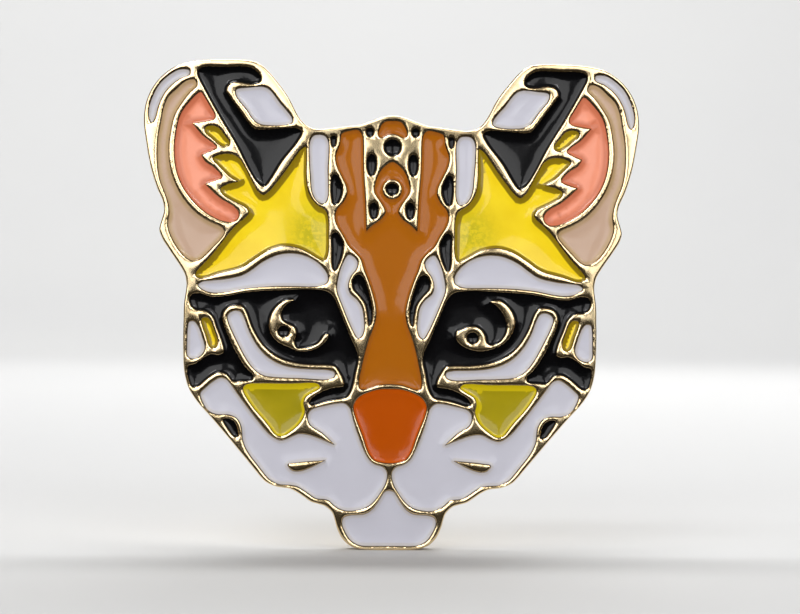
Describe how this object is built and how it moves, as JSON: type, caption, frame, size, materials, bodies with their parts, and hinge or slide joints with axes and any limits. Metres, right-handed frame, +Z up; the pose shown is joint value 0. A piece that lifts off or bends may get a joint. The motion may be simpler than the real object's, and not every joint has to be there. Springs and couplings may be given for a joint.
{
  "type": "enamel pin",
  "caption": "Soft-enamel lapel pin in the shape of a spotted cat's face, on a struck metal plate with posts and butterfly clutches.",
  "frame": {"origin": "middle of the plate's flat back face", "axes": "+Y out of the back along the posts, +X to the right seen from the front, +Z up as worn"},
  "size_m": [0.038, 0.0114, 0.0375],
  "materials": {
    "gold_plate": "bright pale gold plate, fine matt texture in the cells",
    "white_enamel": "glossy soft enamel, slightly dished",
    "tan_enamel": "glossy soft enamel, slightly dished",
    "coral_enamel": "glossy soft enamel, slightly dished",
    "yellow_enamel": "glossy soft enamel, slightly dished and translucent over textured metal",
    "olive_enamel": "glossy soft enamel, slightly dished and translucent over textured metal",
    "brown_enamel": "glossy soft enamel, slightly dished",
    "orange_enamel": "glossy soft enamel, slightly dished",
    "black_enamel": "glossy soft enamel, slightly dished",
    "post_steel": "plated steel wire",
    "clutch_sheet": "bright plated sheet brass",
    "spring_wire": "bare spring wire"
  },
  "bodies": {
    "badge": {"badge_plate": "gold_plate", "ear_rim_white_left": "white_enamel", "ear_rim_white_right": "white_enamel", "ear_band_tan_left": "tan_enamel", "ear_band_tan_right": "tan_enamel", "ear_inner_coral_left": "coral_enamel", "ear_inner_coral_right": "coral_enamel", "ear_fleck_yellow_left": "yellow_enamel", "ear_fleck_yellow_right": "yellow_enamel", "ear_stripe_black_left": "black_enamel", "ear_stripe_black_right": "black_enamel", "ear_window_white_left": "white_enamel", "ear_window_white_right": "white_enamel", "forehead_yellow_left": "yellow_enamel", "forehead_yellow_right": "yellow_enamel", "forehead_bar_white_left": "white_enamel", "forehead_bar_white_right": "white_enamel", "forehead_edge_black_left": "black_enamel", "forehead_edge_black_right": "black_enamel", "brow_white_left": "white_enamel", "brow_white_right": "white_enamel", "eye_patch_black_left": "black_enamel", "eye_patch_black_right": "black_enamel", "eye_dot_black_left": "black_enamel", "eye_dot_black_right": "black_enamel", "under_eye_white_left": "white_enamel", "under_eye_white_right": "white_enamel", "temple_white_left": "white_enamel", "temple_white_right": "white_enamel", "temple_bar_yellow_left": "yellow_enamel", "temple_bar_yellow_right": "yellow_enamel", "cheek_yellow_left": "olive_enamel", "cheek_yellow_right": "olive_enamel", "muzzle_white_left": "white_enamel", "muzzle_white_right": "white_enamel", "jaw_spot_black_left": "black_enamel", "jaw_spot_black_right": "black_enamel", "nose_side_white_left": "white_enamel", "nose_side_white_right": "white_enamel", "nose_side_black_left": "black_enamel", "nose_side_black_right": "black_enamel", "forehead_stripes_brown": "brown_enamel", "forehead_crown_brown": "brown_enamel", "crown_spots_black": "black_enamel", "nose_orange": "orange_enamel", "chin_white": "white_enamel", "post_left": "post_steel", "post_right": "post_steel"},
    "left_clutch_base": {"clutch_disc_left": "clutch_sheet"},
    "left_clutch_top": {"clutch_housing_left": "clutch_sheet", "clutch_spring_left": "spring_wire"},
    "left_wing_a": {"clutch_wing_a_left": "clutch_sheet"},
    "left_wing_b": {"clutch_wing_b_left": "clutch_sheet"},
    "right_clutch_base": {"clutch_disc_right": "clutch_sheet"},
    "right_clutch_top": {"clutch_housing_right": "clutch_sheet", "clutch_spring_right": "spring_wire"},
    "right_wing_a": {"clutch_wing_a_right": "clutch_sheet"},
    "right_wing_b": {"clutch_wing_b_right": "clutch_sheet"}
  },
  "joints": [
    {"name": "left_clutch_slide", "type": "slide", "parent": "badge", "child": "left_clutch_base", "axis": [0, 1, 0], "range_m": [-0.003, 0.012]},
    {"name": "left_clutch_spin", "type": "hinge", "parent": "left_clutch_base", "child": "left_clutch_top", "pos_m": [-0.0095, 0.00365, 0.002], "axis": [0, 1, 0], "continuous": true},
    {"name": "left_squeeze", "type": "hinge", "parent": "left_clutch_top", "child": "left_wing_a", "pos_m": [-0.007, 0.00555, 0.002], "axis": [0, 0, 1], "range_deg": [0, 12], "stiffness_Nm_per_rad": 0.0005},
    {"name": "left_squeeze_follow", "type": "hinge", "parent": "left_clutch_top", "child": "left_wing_b", "pos_m": [-0.012, 0.00555, 0.002], "axis": [0, 0, -1], "range_deg": [0, 12], "stiffness_Nm_per_rad": 0.0005},
    {"name": "right_clutch_slide", "type": "slide", "parent": "badge", "child": "right_clutch_base", "axis": [0, 1, 0], "range_m": [-0.003, 0.012]},
    {"name": "right_clutch_spin", "type": "hinge", "parent": "right_clutch_base", "child": "right_clutch_top", "pos_m": [0.0095, 0.00365, 0.002], "axis": [0, 1, 0], "continuous": true},
    {"name": "right_squeeze", "type": "hinge", "parent": "right_clutch_top", "child": "right_wing_a", "pos_m": [0.012, 0.00555, 0.002], "axis": [0, 0, 1], "range_deg": [0, 12], "stiffness_Nm_per_rad": 0.0005},
    {"name": "right_squeeze_follow", "type": "hinge", "parent": "right_clutch_top", "child": "right_wing_b", "pos_m": [0.007, 0.00555, 0.002], "axis": [0, 0, -1], "range_deg": [0, 12], "stiffness_Nm_per_rad": 0.0005}
  ],
  "couplings": [
    {"joint": "left_squeeze_follow", "follows": "left_squeeze", "ratio": 1},
    {"joint": "right_squeeze_follow", "follows": "right_squeeze", "ratio": 1}
  ]
}
